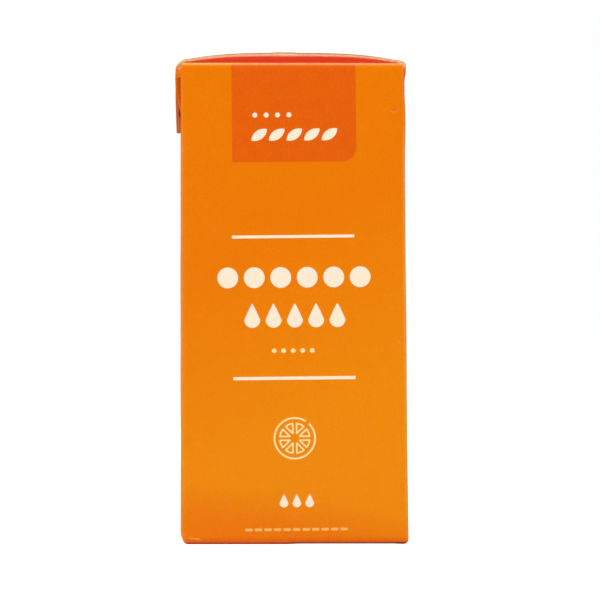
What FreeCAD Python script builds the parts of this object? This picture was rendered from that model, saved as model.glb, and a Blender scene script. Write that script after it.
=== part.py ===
import FreeCAD, Part
import math
import os

os.makedirs("parts", exist_ok=True)

# A shut one-litre brick carton of film-coated board, standing upright.
# +X is the right of the front panel, -Y is the front, +Z is up.
# The origin is the middle of the base, on the table. All sizes are in mm.

# The brick
width_at_top = 90.4        # across the front panel at its top crease
side_spread = 1.5          # the right side stands out this much more at the base
depth = 58.5               # front panel to back panel, at the creases
crease_height = 195.0      # table to the top crease of the front panel
ply = 0.45                 # one layer of coated board
front_swell = 1.3          # how far the front and back panels bow out
side_swell = 0.7           # how far the side panels bow out
swell_height = 70.0        # where the panels bow out most
corner_radius = 1.2        # the four upright creases
top_crease_radius = 0.9    # the creases around the top panel
base_crease_radius = 1.3   # the creases around the base
left_base_tuck = 5.0       # height of the drawn-in left base crease
left_base_draw = 1.9       # how far that crease is drawn in

# The top panel and its seal fin, folded flat towards the front
fin_reach = 10.0           # seal line to raw edge
dome_at_middle = 4.4       # rise of the top panel along the seal line
dome_at_side = 0.9         # the same, where the ears turn down
fin_lift = 0.15            # gap between the fin and the top panel
fin_bend_radius = 2.6      # the fin's bend over each ear
# The top panel's line from front to back: share of its reach, share of its
# rise, and share of the fin's thickness, which the back half climbs to cover
top_line = [
    (-1, 0, 0), (-0.66, 0.52, 0), (-0.34, 0.86, 0), (-0.1, 0.99, 0.5),
    (0, 1, 0.92), (0.3, 0.88, 0.8), (0.65, 0.53, 0.35), (1, 0, 0),
]

# The ears, folded down on the sides
ear_length = depth / 2     # the ear's fold over the side, to its point
ear_tip_height = crease_height + dome_at_side + ply - ear_length
ear_thickness = 2 * ply
ear_fold_radius = 0.4      # the slanting folds of the ear

# The lap seam up the back
seam_width = 9.0
seam_offset = -3.2         # middle of the seam, left of the middle of the back

# The base: two ears folded under, and the seal fin between them, bedded in by
# the weight of the juice
base_lift = 0.5            # the folds stand this far below the base panel
base_ear_reach = depth / 2 - 0.5


def vec(x, y, z):
    return FreeCAD.Vector(x, y, z)


def arc(a, b, c):
    return Part.Arc(a, b, c).toShape()


def smooth(points):
    curve = Part.BSplineCurve()
    curve.interpolate(points)
    return curve.toShape()


def flat_solid(faces):
    """A solid with flat faces, each given by its corners."""
    shell = Part.makeShell([Part.Face(Part.makePolygon(f + f[:1])) for f in faces])
    solid = Part.makeSolid(shell)
    if solid.Volume < 0:
        solid.reverse()
    return solid


def swell(z):
    """Share of the full swell at height z: hardly any at the base and the top."""
    span = crease_height - swell_height if z > swell_height else swell_height
    return max(0.06, math.cos(math.pi / 2 * min(1.0, abs(z - swell_height) / span)))


def right_side(z):
    """Distance of the right upright creases from the middle plane."""
    return width_at_top / 2 + side_spread * (1 - z / crease_height) ** 1.4


def brick_section(z, inset=0.0, left_draw=0.0):
    """The outline of the brick at height z: four bowed panels, four creases."""
    left = -width_at_top / 2 + inset + left_draw
    right = right_side(z) - inset
    front = -depth / 2 + inset
    back = depth / 2 - inset
    r = corner_radius
    bow_y = front_swell * swell(z)
    bow_x = side_swell * swell(z)
    near = r * (1 - math.sqrt(0.5))
    middle = (left + right) / 2
    edges = [
        arc(vec(left + r, front, z), vec(middle, front - bow_y, z), vec(right - r, front, z)),
        arc(vec(right - r, front, z), vec(right - near, front + near, z), vec(right, front + r, z)),
        arc(vec(right, front + r, z), vec(right + bow_x, 0, z), vec(right, back - r, z)),
        arc(vec(right, back - r, z), vec(right - near, back - near, z), vec(right - r, back, z)),
        arc(vec(right - r, back, z), vec(middle, back + bow_y, z), vec(left + r, back, z)),
        arc(vec(left + r, back, z), vec(left + near, back - near, z), vec(left, back - r, z)),
        arc(vec(left, back - r, z), vec(left - bow_x, 0, z), vec(left, front + r, z)),
        arc(vec(left, front + r, z), vec(left + near, front + near, z), vec(left + r, front, z)),
    ]
    return Part.Wire(edges)


def brick():
    """The upright part of the carton, with its rounded creases."""
    levels = [0.0, 0.35, 0.75, 1.0]
    low = []
    for share in levels:
        turn = share * math.pi / 2
        z = base_lift + base_crease_radius * (1 - math.cos(turn))
        inset = base_crease_radius * (1 - math.sin(turn))
        draw = left_base_draw * (1 - (z - base_lift) / left_base_tuck) ** 2
        low.append(brick_section(z, inset, draw))
    start = base_lift + base_crease_radius
    draw = left_base_draw * (1 - base_crease_radius / left_base_tuck) ** 2
    tuck = [brick_section(start, 0.0, draw)]
    for z in [3.4, 4.6, 6.4]:
        share = max(0.0, 1 - (z - base_lift) / left_base_tuck)
        tuck.append(brick_section(z, 0.0, left_base_draw * share ** 2))
    top = crease_height - top_crease_radius
    main = [brick_section(z) for z in [6.4, 35, 70, 105, 140, 170, top]]
    high = []
    for share in levels:
        turn = share * math.pi / 2
        z = top + top_crease_radius * math.sin(turn)
        inset = top_crease_radius * (1 - math.cos(turn))
        high.append(brick_section(z, inset))
    pieces = [
        Part.makeLoft(low, True, True),
        Part.makeLoft(tuck, True, True),
        Part.makeLoft(main, True, False),
        Part.makeLoft(high, True, True),
    ]
    return pieces[0].fuse(pieces[1:])


def dome(x):
    """Rise of the top panel along the seal line, above the top creases."""
    share = min(1.0, abs(x) / (width_at_top / 2))
    return dome_at_side + (dome_at_middle - dome_at_side) * (1 - share ** 3)


def top_section(x, drop=0.0):
    """The top panel cut across at x; its ends run into the creases."""
    reach = depth / 2 - top_crease_radius
    step = fin_lift + 2 * ply
    rim_y = reach + 0.25
    rim_z = crease_height - 0.2 - drop
    floor_y = reach - 2
    floor_z = crease_height - 3
    base_z = crease_height - drop
    line = [vec(x, reach * s, base_z + dome(x) * t + step * u) for s, t, u in top_line]
    line = [vec(x, -rim_y, rim_z)] + line[1:-1] + [vec(x, rim_y, rim_z)]
    corners = [line[-1], vec(x, floor_y, floor_z), vec(x, -floor_y, floor_z), line[0]]
    edges = [smooth(line)]
    edges += [Part.makeLine(a, b) for a, b in zip(corners, corners[1:])]
    return Part.Wire(edges)


def top_panel():
    """The domed top panel, turning down over the ears at both sides."""
    end = width_at_top / 2 - 0.3
    roll = 0.3 + ear_thickness
    sections = [top_section(end * math.sin(i / 4 * math.pi / 2)) for i in range(-4, 5)]
    pieces = [Part.makeLoft(sections, True, False)]
    for side in (1, -1):
        rolled = []
        for i in range(5):
            turn = i / 4 * math.pi / 2
            x = side * (end + roll * math.sin(turn))
            rolled.append(top_section(x, roll * (1 - math.cos(turn))))
        pieces.append(Part.makeLoft(rolled, True, True))
    return pieces[0].fuse(pieces[1:])


def fin():
    """The top seal fin: over the top, and down each ear to its point."""
    thick = 2 * ply
    outer_x = width_at_top / 2 + ear_thickness + thick
    bend = fin_bend_radius
    start_x = outer_x - bend
    end_z = ear_tip_height

    def height(x):
        return crease_height + dome(x) + fin_lift + thick

    steps = [start_x * math.sin(i / 6 * math.pi / 2) for i in range(-6, 7)]
    over = [vec(x, 0, height(x)) for x in steps]
    under = [vec(x, 0, height(x) - thick) for x in steps]
    side_z = height(start_x) - bend
    edges = [smooth(over)]
    for side in (1, -1):
        top_outer = vec(side * start_x, 0, height(start_x))
        bend_outer = vec(side * (start_x + bend * 0.74), 0, side_z + bend * 0.7)
        side_outer = vec(side * outer_x, 0, side_z)
        low_outer = vec(side * outer_x, 0, end_z)
        low_inner = vec(side * (outer_x - thick - 0.2), 0, end_z)
        side_inner = vec(side * (outer_x - thick - 0.2), 0, side_z - 0.5)
        top_inner = vec(side * start_x, 0, height(start_x) - thick)
        edges.append(arc(top_outer, bend_outer, side_outer))
        edges.append(Part.makeLine(side_outer, low_outer))
        edges.append(Part.makeLine(low_outer, low_inner))
        edges.append(Part.makeLine(low_inner, side_inner))
        edges.append(Part.makeLine(side_inner, top_inner))
    edges.append(smooth(under))
    outline = Part.Wire(Part.__sortEdges__(edges))
    return Part.Face(outline).extrude(vec(0, -fin_reach, 0))


def top_ear(side):
    """One ear below its fold, flat on its side panel; its back half climbs to
    cover the fin's thickness."""
    inner_x = side * (width_at_top / 2 - 0.6)
    outer_x = side * (width_at_top / 2 + ear_thickness)
    shoulder = crease_height - 1.2
    reach = depth / 2 - 1.2
    points = [
        vec(inner_x, -reach, shoulder),
        vec(inner_x, reach, shoulder),
        vec(inner_x, 0, ear_tip_height),
    ]
    outline = Part.makePolygon(points + points[:1])
    plate = Part.Face(outline).extrude(vec(outer_x - inner_x, 0, 0))
    cover_x = outer_x + side * 2 * ply * 0.92
    ridge_top = vec(cover_x, 0, shoulder)
    ridge_low = vec(cover_x, 0, ear_tip_height)
    root_top = vec(outer_x, 0, shoulder)
    root_low = vec(outer_x, 0, ear_tip_height)
    tail = vec(outer_x, reach - 1.0, shoulder)
    folds = [
        e for e in plate.Edges
        if all(abs(v.X - outer_x) < 0.01 for v in e.Vertexes)
        and abs(e.Vertexes[0].Z - e.Vertexes[1].Z) > 1
    ]
    cover = flat_solid([
        [ridge_top, ridge_low, root_low, root_top],
        [ridge_top, tail, ridge_low],
        [root_top, root_low, tail],
        [ridge_top, root_top, tail],
        [ridge_low, tail, root_low],
    ])
    return plate.makeFillet(ear_fold_radius, folds).fuse(cover)


def back_seam():
    """The lap seam: a strip one ply proud, up the back and over to the fin."""
    side_x = seam_offset - seam_width / 2
    reach = depth / 2 - top_crease_radius
    bow = front_swell * (1 - (seam_offset / (width_at_top / 2)) ** 2)
    top_z = crease_height - top_crease_radius
    heights = [4.0, 20, 45, 70, 100, 130, 160, top_z]
    up = [vec(side_x, depth / 2 + bow * swell(z) + ply, z) for z in heights]
    rise = dome(seam_offset)
    step = fin_lift + 2 * ply
    over = [
        vec(side_x, reach * s, crease_height + rise * t + step * u + ply)
        for s, t, u in reversed(top_line) if s > -0.05
    ]
    corner = top_crease_radius + ply
    bend = vec(side_x, reach + corner * 0.71, top_z + corner * 0.71)
    inner = [
        over[-1],
        vec(side_x, 0, crease_height + 1),
        vec(side_x, reach - 1, top_z - 1),
        vec(side_x, reach - 1, heights[0]),
        up[0],
    ]
    edges = [smooth(up), arc(up[-1], bend, over[0]), smooth(over)]
    edges += [Part.makeLine(a, b) for a, b in zip(inner, inner[1:])]
    return Part.Face(Part.Wire(edges)).extrude(vec(seam_width, 0, 0))


def base_ear(side):
    """One base ear, folded under flat with its point towards the middle."""
    outer = right_side(0) - base_crease_radius if side > 0 else width_at_top / 2 - left_base_draw - 0.9
    reach = depth / 2 - base_crease_radius
    points = [
        vec(side * outer, -reach, 0),
        vec(side * outer, reach, 0),
        vec(side * (outer - base_ear_reach), 0, 0),
    ]
    outline = Part.makePolygon(points + points[:1])
    return Part.Face(outline).extrude(vec(0, 0, base_lift + 0.4))


def base_fin():
    """The base seal fin, folded flat between the two base ears."""
    reach = width_at_top / 2 - 12
    return Part.makeBox(2 * reach, fin_reach, base_lift + 0.4, vec(-reach, -fin_reach, 0))


carton = brick().fuse([
    top_panel(),
    fin(),
    top_ear(1),
    top_ear(-1),
    back_seam(),
    base_ear(1),
    base_ear(-1),
    base_fin(),
])
carton = carton.removeSplitter()
solid = carton.Solids[0] if len(carton.Solids) == 1 else carton
solid.exportStep("parts/carton.step")
print("carton:", solid.ShapeType, "valid", solid.isValid(), "litres", round(solid.Volume / 1e6, 3))
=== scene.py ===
import bpy
import bmesh
import math
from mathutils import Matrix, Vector, noise


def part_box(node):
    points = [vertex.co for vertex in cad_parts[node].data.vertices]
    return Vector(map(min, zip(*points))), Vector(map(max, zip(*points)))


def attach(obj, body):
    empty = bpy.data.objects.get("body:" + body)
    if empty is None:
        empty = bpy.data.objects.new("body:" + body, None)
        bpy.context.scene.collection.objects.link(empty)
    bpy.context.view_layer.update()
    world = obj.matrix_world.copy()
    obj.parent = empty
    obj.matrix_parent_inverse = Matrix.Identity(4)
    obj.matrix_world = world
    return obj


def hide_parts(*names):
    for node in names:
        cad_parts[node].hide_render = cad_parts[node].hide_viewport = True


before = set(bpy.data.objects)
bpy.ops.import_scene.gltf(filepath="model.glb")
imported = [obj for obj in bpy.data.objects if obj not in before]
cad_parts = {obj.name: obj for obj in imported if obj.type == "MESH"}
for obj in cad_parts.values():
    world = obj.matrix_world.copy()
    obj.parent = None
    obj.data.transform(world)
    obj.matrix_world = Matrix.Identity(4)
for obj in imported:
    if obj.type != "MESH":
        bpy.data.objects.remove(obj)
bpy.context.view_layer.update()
boxLow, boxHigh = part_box("carton")
print("frame loaded, carton", [round(v * 1000, 1) for v in boxHigh - boxLow], "mm")

mm = 0.001
halfPi = math.pi / 2

# The brick itself. Sizes in millimetres, origin in the middle of the base, front towards -Y.
carton = {
    "earsAndFin": 1.8,  # how far the ears and the fin stand out past the upright creases
    "halfDepth": 29.25,
    "crownRise": 6.17,  # top crease to the highest point
    "cornerRadius": 1.1,
    "rightSlack": 0.2,  # the right side is a little looser all the way up
    "slackFade": 30.0,  # and drawn in again over this height below the top crease
    "baseSpread": 1.7,  # it stands out this much more at the base
    "spreadPower": 1.4,
    "elbow": 0.35,  # and bulges where its ear is stuck down
    "elbowAt": 172.0,
    "elbowSpan": 11.0,
    "rightTuck": 0.85,  # its base corner is a little drawn in
    "rightTuckHeight": 2.6,
    "leftTuck": 1.9,  # the left base corner much more
    "leftTuckHeight": 5.6,
    "frontSwell": 1.3,  # how far a full panel bows out
    "backSwell": 1.3,
    "leftSwell": 0.42,
    "rightSwell": 0.7,
    "swellAt": 70.0,  # height where it bows out most
    "rippleSize": 38.0,
    "rippleDepth": 0.18,
    "rippleFade": 14.0,  # no ripple this near the top and base creases
    "baseRoll": 1.0,
    "baseLift": 0.02,
    "sideLift": 0.1,  # the other three base creases stand this much higher
    "baseLiftRight": 0.45,  # the front base crease is folded a little higher on the right
    "liftTurn": (-0.12, 0.08),
    "topRoll": 2.7,  # height over which the panels turn into the top
    "rollPower": 2.7,
    "domeMiddle": 4.75,  # rise of the top along the seal line
    "domeLeft": 1.35,
    "domeRight": 0.9,
    "domePower": 3.4,
    "archPower": 1.1,
    "topWave": 0.1,
    "topWaveSize": 24.0,
    "finClimb": 1.1,  # two plies and a little air
    "finRamp": 5.0,  # in front of the seal the top drops again over this depth
    "ply": 0.5,  # coated board, as thick as it looks with its fuzzed edge
}
halfWidth = (boxHigh.x - boxLow.x) / mm / 2 - carton["earsAndFin"]
halfDepth = carton["halfDepth"]
corner = carton["cornerRadius"]
crease = (boxHigh.z - boxLow.z) / mm - carton["crownRise"]
bodyBase = carton["baseLift"] + carton["baseRoll"]  # the panels are upright between these two heights
bodyTop = crease - carton["topRoll"]

# Knocks and scores on the front panel: start, end, radius, depth.
marks = [
    {"from": (40.4, 175.3), "to": (40.8, 175.3), "radius": 0.65, "depth": 0.5, "scored": False},
    {"from": (42.4, 82.8), "to": (43.2, 81.7), "radius": 0.45, "depth": 0.25, "scored": False},
    {"from": (43.2, 81.7), "to": (44.0, 82.6), "radius": 0.45, "depth": 0.25, "scored": False},
    {"from": (-40.9, 2.5), "to": (-37.4, 2.05), "radius": 0.45, "depth": 0.2, "scored": True},
]
markReach = 3  # radii past which a mark leaves no trace
rippleStart = {"front": 0.0, "right": 11.0, "back": 23.0, "left": 37.0}  # each panel ripples its own way
topWaveStart = 5.3


def smoothStep(low, high, value):
    t = min(1.0, max(0.0, (value - low) / (high - low)))
    return t * t * (3 - 2 * t)


def bell(value):
    return math.exp(-value * value)


def swellShare(z):
    span = crease - carton["swellAt"] if z > carton["swellAt"] else carton["swellAt"]
    return max(0.0, math.cos(halfPi * min(1.0, abs(z - carton["swellAt"]) / span)))


def rightEdge(z):
    spread = carton["baseSpread"] * max(0.0, 1 - z / crease) ** carton["spreadPower"]
    slack = carton["rightSlack"] * smoothStep(crease, crease - carton["slackFade"], z)
    elbow = carton["elbow"] * bell((z - carton["elbowAt"]) / carton["elbowSpan"])
    tuck = carton["rightTuck"] * max(0.0, 1 - z / carton["rightTuckHeight"]) ** 2
    return halfWidth + slack + elbow + spread - tuck


def leftEdge(z):
    share = max(0.0, 1 - (z - carton["baseLift"]) / carton["leftTuckHeight"])
    return -halfWidth + carton["leftTuck"] * share ** 2


def distanceToLine(x, z, start, end):
    ax, az = x - start[0], z - start[1]
    bx, bz = end[0] - start[0], end[1] - start[1]
    t = min(1.0, max(0.0, (ax * bx + az * bz) / (bx * bx + bz * bz)))
    return math.hypot(ax - bx * t, az - bz * t)


def relief(panel, share, z):
    # how far a panel stands out from its creases, share -1 to 1 across it
    reach = halfWidth if panel in ("front", "back") else halfDepth
    flat = 1 - share * share
    start, size, fade = rippleStart[panel], carton["rippleSize"], carton["rippleFade"]
    ripple = noise.noise(Vector((share * reach / size + start, z / size, start)))
    ripple *= flat ** 0.5 * smoothStep(0, fade, z) * smoothStep(0, fade, crease - z)
    out = carton[panel + "Swell"] * swellShare(z) * flat + carton["rippleDepth"] * ripple
    if panel == "front":
        x = share * (halfWidth - corner)
        for mark in marks:
            away = distanceToLine(x, z, mark["from"], mark["to"]) / mark["radius"]
            if away < markReach:
                out -= mark["depth"] * bell(away)
    return out


def baseHeight(panel, share):
    if panel != "front":
        return carton["baseLift"] + carton["sideLift"]
    return carton["baseLift"] + carton["baseLiftRight"] * smoothStep(*carton["liftTurn"], share)


def topRollInset(rise):
    return corner * rise ** carton["rollPower"]


def dome(x):
    share = min(1.0, abs(x) / halfWidth)
    side = carton["domeLeft"] if x < 0 else carton["domeRight"]
    return side + (carton["domeMiddle"] - side) * (1 - share ** carton["domePower"])


def finStep(y):
    # the back half of the top climbs to cover the fin, which lies on the front half
    share = min(1.0, abs(y) / (halfDepth - corner))
    if y > 0:
        return carton["finClimb"] * math.cos(share * halfPi) ** 1.2
    return carton["finClimb"] * max(0.0, 1 + y / carton["finRamp"]) ** 1.5


def topHeight(x, y):
    share = min(1.0, abs(y) / (halfDepth - corner))
    spot = Vector((x / carton["topWaveSize"], y / carton["topWaveSize"], topWaveStart))
    wave = carton["topWave"] * noise.noise(spot) * (1 - share ** 4)
    arch = math.sin((1 - share) * halfPi) ** carton["archPower"]
    return crease + dome(x) * arch + finStep(y) + wave


def finishPiece(name, mesh, materials, sharpAngle):
    for face in mesh.polygons:
        face.use_smooth = True
    mesh.set_sharp_from_angle(angle=math.radians(sharpAngle))
    for material in materials:
        mesh.materials.append(material)
    piece = bpy.data.objects.new(name, mesh)
    bpy.context.collection.objects.link(piece)
    return piece


def makeObject(name, points, faces, materials, pick=None, sharpAngle=50):
    # points in millimetres; pick(faceIndex) gives a face's material
    mesh = bpy.data.meshes.new(name)
    mesh.from_pydata([Vector(p) * mm for p in points], [], faces)
    for index, face in enumerate(mesh.polygons):
        face.material_index = pick(index) if pick else 0
    work = bmesh.new()
    work.from_mesh(mesh)
    bmesh.ops.remove_doubles(work, verts=work.verts, dist=0.002 * mm)
    bmesh.ops.recalc_face_normals(work, faces=work.faces)
    work.to_mesh(mesh)
    work.free()
    return finishPiece(name, mesh, materials, sharpAngle)


def gridFaces(rows, columns, start=0, closed=False):
    faces = []
    wide = columns if closed else columns - 1
    for r in range(rows - 1):
        for c in range(wide):
            a = start + r * columns + c
            b = start + r * columns + (c + 1) % columns
            faces.append((a, b, b + columns, a + columns))
    return faces


# Colour and materials

ink = {
    "panel": "#EB7900",      # warm orange ground
    "litLowPanel": "#EE8900",   # painted light: the same, lighter and yellower over the lower part of the panel
    "footShade": "#DE5A0A",       # painted shade where the panel curves under at the base
    "tab": "#E35F08",        # deeper orange field
    "top": "#E42C04",        # a redder orange over the top panel
    "cream": "#FCE9CF",
    "pale": "#FFE2A2",
    "faint": "#FDBC66",
    # painted highlight along the creases, partly ink rubbed thin there
    "rubAndHighlight": "#FFD66C",
    # painted shade along the base crease
    "baseCreaseShade": "#7E2A12",
}

# The print: places in millimetres on the front panel, from the middle of the print.
layout = {
    "middle": (0.55, 98.0),
    "turn": math.radians(0.55),  # the print runs slightly askew on the board
    "softness": 0.09,
    "rounding": 0.2,  # corners of rules and dashes
    "sideFrom": 0.6,  # the side print starts this far inside the creases
    "tab": {"left": -24.3, "right": 25.9, "bottom": 56.55, "radius": 5.7, "reach": 100.0},
    "topField": {"side": 2.2, "front": 0.35, "drop": 0.15},
    "rules": [(26.4, 49.4, 1.2), (-30.8, 49.4, 1.3)],  # height, length, thickness
    "sideRule": 34.0,
    "rows": [
        {"shape": "leaf", "at": (0.9, 67.6), "count": 5, "pitch": 7.1, "size": 3.9},
        {"shape": "disc", "at": (-8.1, 75.6), "count": 4, "pitch": 4.6, "size": 1.0},
        {"shape": "disc", "at": (0.2, 9.9), "count": 6, "pitch": 10.7, "size": 4.2},
        {"shape": "drop", "at": (0.4, -5.4), "count": 5, "pitch": 8.6, "size": 3.2},
        {"shape": "disc", "at": (-0.4, -19.7), "count": 5, "pitch": 3.85, "size": 0.95, "ink": "pale"},
        {"shape": "drop", "at": (0.5, -80.3), "count": 3, "pitch": 5.2, "size": 1.75},
        {"shape": "dash", "at": (0.3, -92.0), "count": 11, "pitch": 3.85, "size": 1.45, "ink": "faint"},
    ],
    "drop": {"tall": 2.05, "sink": 0.55, "taper": 0.85},  # belly to point, for a belly of radius 1
    "leaf": {"wide": 0.48, "lean": -0.62},  # for a half length of 1; lean in radians
    "dash": {"high": 0.55},
    "slice": {"at": (-0.1, -55.1), "ring": 8.2, "stroke": 0.36, "segments": 8, "outer": 6.4, "core": 1.7,
              "gapAt": 51.5, "gap": 5.5, "apart": 0.42, "rindRound": 0.7, "coreRound": 0.6, "thin": 0.85},
    "fall": (125.0, 45.0, -0.45),  # painted light turns the ground lighter and yellower between these heights, sooner on the right
    "rise": (5.0, 20.0, 0.15),  # and back again at the base
    # painted shade at the base: none above the first height, full below the second
    "footShade": (3.2, 0.6),
}


def linear(code):
    channels = [int(code[i:i + 2], 16) / 255 for i in (1, 3, 5)]
    return tuple(c / 12.92 if c <= 0.04045 else ((c + 0.055) / 1.055) ** 2.4 for c in channels) + (1.0,)


def join(tree, node, links):
    # feeds a node's sockets with values, sockets or nodes, by socket name or in order
    pairs = links.items() if isinstance(links, dict) else enumerate(links)
    for socket, value in pairs:
        if isinstance(value, bpy.types.Node):
            value = value.outputs[0]
        if isinstance(value, bpy.types.NodeSocket):
            tree.links.new(value, node.inputs[socket])
        else:
            node.inputs[socket].default_value = value


def put(tree, kind, links=(), **settings):
    node = tree.nodes.new("ShaderNode" + kind)
    for key, value in settings.items():
        setattr(node, key, value)
    join(tree, node, links)
    return node


def workOut(tree, start, *steps):
    # works a measure out step by step; each step is (operation, further values)
    value = start
    for operation, *others in steps:
        kind = "VectorMath" if operation in ("LENGTH", "DISTANCE") else "Math"
        value = put(tree, kind, (value, *others), operation=operation).outputs["Value"]
    return value


def newMaterial(name):
    material = bpy.data.materials.new(name)
    material.use_nodes = True
    tree = material.node_tree
    return material, tree, tree.nodes["Principled BSDF"]


def inked(tree, distance):
    # 1 inside the printed edge, 0 outside it; distance is negative inside
    soft = layout["softness"]
    return put(tree, "MapRange", {"Value": distance, "From Min": soft, "From Max": -soft})


def bothOf(tree, a, b):
    return workOut(tree, a, ("MULTIPLY", b))


def eitherOf(tree, parts):
    return workOut(tree, parts[0], *(("MAXIMUM", part) for part in parts[1:]))


def lengthOf(tree, across, along):
    return workOut(tree, put(tree, "CombineXYZ", (across, along)), ("LENGTH",))


def boxDistance(tree, u, v, at, half, radius):
    # a box with rounded corners
    outside = []
    for place, middle, reach in zip((u, v), at, half):
        outside.append(workOut(tree, place, ("SUBTRACT", middle), ("ABSOLUTE",),
                               ("SUBTRACT", reach - radius), ("MAXIMUM", 0.0)))
    return workOut(tree, lengthOf(tree, *outside), ("SUBTRACT", radius))


def discDistance(tree, local, high, size):
    return workOut(tree, lengthOf(tree, local, high), ("SUBTRACT", size))


def dropDistance(tree, local, high, size):
    # a round belly that runs up to a point
    plan = layout["drop"]
    tall = size * plan["tall"]
    lifted = workOut(tree, high, ("ADD", size * plan["sink"]))
    belly = lengthOf(tree, local, workOut(tree, lifted, ("MINIMUM", 0.0)))
    taper = workOut(tree, lifted, ("DIVIDE", tall), ("MAXIMUM", 0.0), ("MINIMUM", 1.0), ("SUBTRACT", 1.0),
                    ("ABSOLUTE",), ("POWER", plan["taper"]), ("MULTIPLY", size))
    above = workOut(tree, lifted, ("SUBTRACT", tall))
    return workOut(tree, belly, ("SUBTRACT", taper), ("MAXIMUM", above))


def leafDistance(tree, local, high, size):
    # where two discs cross, turned up at one end
    plan = layout["leaf"]
    spot = put(tree, "CombineXYZ", (local, high))
    spot = put(tree, "VectorRotate", {"Vector": spot, "Angle": plan["lean"]}, rotation_type="Z_AXIS")
    wide = size * plan["wide"]
    radius = (size * size + wide * wide) / (2 * wide)
    sides = []
    for side in (1, -1):
        middle = (0, side * (radius - wide), 0)
        sides.append(workOut(tree, spot, ("DISTANCE", middle), ("SUBTRACT", radius)))
    return eitherOf(tree, sides)


def dashDistance(tree, local, high, size):
    return boxDistance(tree, local, high, (0, 0), (size, layout["dash"]["high"]), layout["rounding"])


shapeDistances = {"disc": discDistance, "drop": dropDistance, "leaf": leafDistance, "dash": dashDistance}


def rowMask(tree, u, v, row):
    # the same small shape, count times along a line
    pitch, halfRow = row["pitch"], row["pitch"] * row["count"] / 2
    across = workOut(tree, u, ("SUBTRACT", row["at"][0] - halfRow))
    local = workOut(tree, across, ("FLOORED_MODULO", pitch), ("SUBTRACT", pitch / 2))
    high = workOut(tree, v, ("SUBTRACT", row["at"][1]))
    within = workOut(tree, across, ("SUBTRACT", halfRow), ("ABSOLUTE",), ("LESS_THAN", halfRow))
    distance = shapeDistances[row["shape"]](tree, local, high, row["size"])
    return bothOf(tree, inked(tree, distance), within)


def sliceMask(tree, u, v, plan):
    # a ring with one small gap, and line-drawn segments inside it
    right = workOut(tree, u, ("SUBTRACT", plan["at"][0]))
    up = workOut(tree, v, ("SUBTRACT", plan["at"][1]))
    radius = lengthOf(tree, right, up)
    angle = workOut(tree, up, ("ARCTAN2", right))
    ring = workOut(tree, radius, ("SUBTRACT", plan["ring"]), ("ABSOLUTE",), ("SUBTRACT", plan["stroke"]))
    unbroken = workOut(tree, angle, ("SUBTRACT", math.radians(plan["gapAt"])), ("ABSOLUTE",),
                       ("GREATER_THAN", math.radians(plan["gap"])))
    turn = 2 * math.pi / plan["segments"]
    folded = workOut(tree, angle, ("FLOORED_MODULO", turn), ("SUBTRACT", turn / 2))
    along = workOut(tree, folded, ("COSINE",), ("MULTIPLY", radius))
    across = workOut(tree, folded, ("SINE",), ("MULTIPLY", radius), ("ABSOLUTE",))
    slope = workOut(tree, along, ("MULTIPLY", math.sin(turn / 2)))
    side = workOut(tree, across, ("MULTIPLY", math.cos(turn / 2)), ("SUBTRACT", slope),
                   ("ADD", plan["apart"]))
    rind = workOut(tree, radius, ("SUBTRACT", plan["outer"]))
    core = workOut(tree, along, ("MULTIPLY", -1.0), ("ADD", plan["core"]))
    segment = workOut(tree, side, ("SMOOTH_MAX", rind, plan["rindRound"]),
                      ("SMOOTH_MAX", core, plan["coreRound"]))
    outline = workOut(tree, segment, ("ADD", plan["stroke"]), ("ABSOLUTE",),
                      ("SUBTRACT", plan["stroke"] * plan["thin"]))
    return eitherOf(tree, [bothOf(tree, inked(tree, ring), unbroken), inked(tree, outline)])


def layOver(tree, below, code, mask):
    # one colour laid over what is already there, as far as the mask lets it
    mixed = put(tree, "Mix", {0: mask}, data_type="RGBA")
    colours = [s for s in mixed.inputs if s.type == "RGBA"]
    if isinstance(below, str):
        colours[0].default_value = linear(below)
    else:
        tree.links.new(below, colours[0])
    colours[1].default_value = linear(code)
    return [s for s in mixed.outputs if s.type == "RGBA"][0]


def printPlaces(tree, x, y, z):
    # the print reads the same way round on every panel
    onSide = workOut(tree, x, ("ABSOLUTE",), ("GREATER_THAN", halfWidth - layout["sideFrom"]))
    onPanel = workOut(tree, 1.0, ("SUBTRACT", onSide))
    facing = workOut(tree, y, ("SIGN",), ("MULTIPLY", -1.0), ("MULTIPLY", x))
    turned = workOut(tree, x, ("SIGN",), ("MULTIPLY", y))
    across = workOut(tree, bothOf(tree, facing, onPanel), ("ADD", bothOf(tree, turned, onSide)))
    beside = workOut(tree, across, ("SUBTRACT", layout["middle"][0]))
    above = workOut(tree, z, ("SUBTRACT", layout["middle"][1]))
    cosine, sine = math.cos(layout["turn"]), math.sin(layout["turn"])
    u = workOut(tree, beside, ("MULTIPLY", cosine), ("ADD", workOut(tree, above, ("MULTIPLY", sine))))
    v = workOut(tree, above, ("MULTIPLY", cosine), ("SUBTRACT", workOut(tree, beside, ("MULTIPLY", sine))))
    return u, v, onSide, onPanel


def tabField(tree, u, v):
    # runs off over the top crease; only its lower right corner is round
    tab = layout["tab"]
    reach = tab["reach"]
    return inked(tree, eitherOf(tree, [
        workOut(tree, v, ("MULTIPLY", -1.0), ("ADD", tab["bottom"])),
        workOut(tree, u, ("MULTIPLY", -1.0), ("ADD", tab["left"])),
        boxDistance(tree, u, v, (tab["right"] - reach, tab["bottom"] + reach), (reach, reach), tab["radius"]),
    ]))


def topField(tree, x, y, z):
    # ends at the creases and where the ears turn down
    plan = layout["topField"]
    sideGap = workOut(tree, x, ("ABSOLUTE",), ("SUBTRACT", halfWidth - plan["side"]))
    climb = workOut(tree, z, ("SUBTRACT", crease - plan["drop"]))
    frontGap = workOut(tree, y, ("ABSOLUTE",), ("SUBTRACT", halfDepth - plan["front"]), ("SUBTRACT", climb))
    return inked(tree, workOut(tree, frontGap, ("MAXIMUM", sideGap)))


# the printed ground, with painted light on the lower panel and painted shade at the base
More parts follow.
